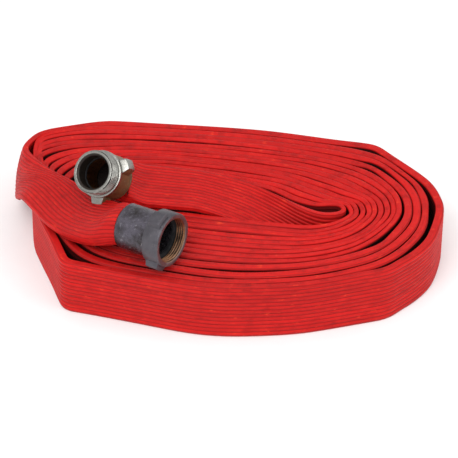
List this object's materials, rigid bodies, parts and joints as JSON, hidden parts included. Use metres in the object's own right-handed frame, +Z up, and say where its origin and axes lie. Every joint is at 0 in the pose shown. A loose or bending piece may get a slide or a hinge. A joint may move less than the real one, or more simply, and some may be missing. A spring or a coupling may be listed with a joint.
{
  "type": "rolled fire hose",
  "caption": "Lay-flat attack fire hose wound on edge into an oval roll, its swivel coupling and its male coupling lying on top",
  "frame": {"origin": "on the floor, under the middle of the roll's bounding box", "axes": "+X along the roll's length, away from the couplings; +Y towards the long side away from the swivel coupling; +Z up"},
  "size_m": [0.4996, 0.32, 0.1506],
  "materials": {
    "hose_rubber": "satin, ribbed nitrile rubber cover",
    "bright_aluminium": "machined, with a darker bowl",
    "dark_aluminium": "grey hard anodised, scuffed",
    "ring_brass": "dull brass",
    "black_rubber": "matt",
    "ball_steel": "polished",
    "screw_steel": "plain"
  },
  "bodies": {
    "hose": {"hose_roll": "hose_rubber", "hose_tail_male": "hose_rubber", "hose_tail_female": "hose_rubber", "hose_end_male": "hose_rubber", "hose_end_female": "hose_rubber", "male_coupling_body": "bright_aluminium", "male_expansion_ring": "ring_brass", "male_tail_gasket": "black_rubber", "female_tailpiece": "dark_aluminium", "female_expansion_ring": "ring_brass", "female_tail_gasket": "black_rubber"},
    "swivel": {"female_swivel": "dark_aluminium", "swivel_gasket": "black_rubber", "ball_race_screw": "screw_steel"},
    "bearing_balls": {"swivel_balls": "ball_steel"}
  },
  "joints": [
    {"name": "swivel_spin", "type": "hinge", "parent": "hose", "child": "swivel", "pos_m": [-0.07789, -0.1172, 0.10861], "axis": [0.836, -0.544, 0.072], "continuous": true},
    {"name": "ball_orbit", "type": "hinge", "parent": "hose", "child": "bearing_balls", "pos_m": [-0.07789, -0.1172, 0.10861], "axis": [0.836, -0.544, 0.072], "continuous": true}
  ],
  "couplings": [
    {"joint": "ball_orbit", "follows": "swivel_spin", "ratio": 0.5417}
  ]
}
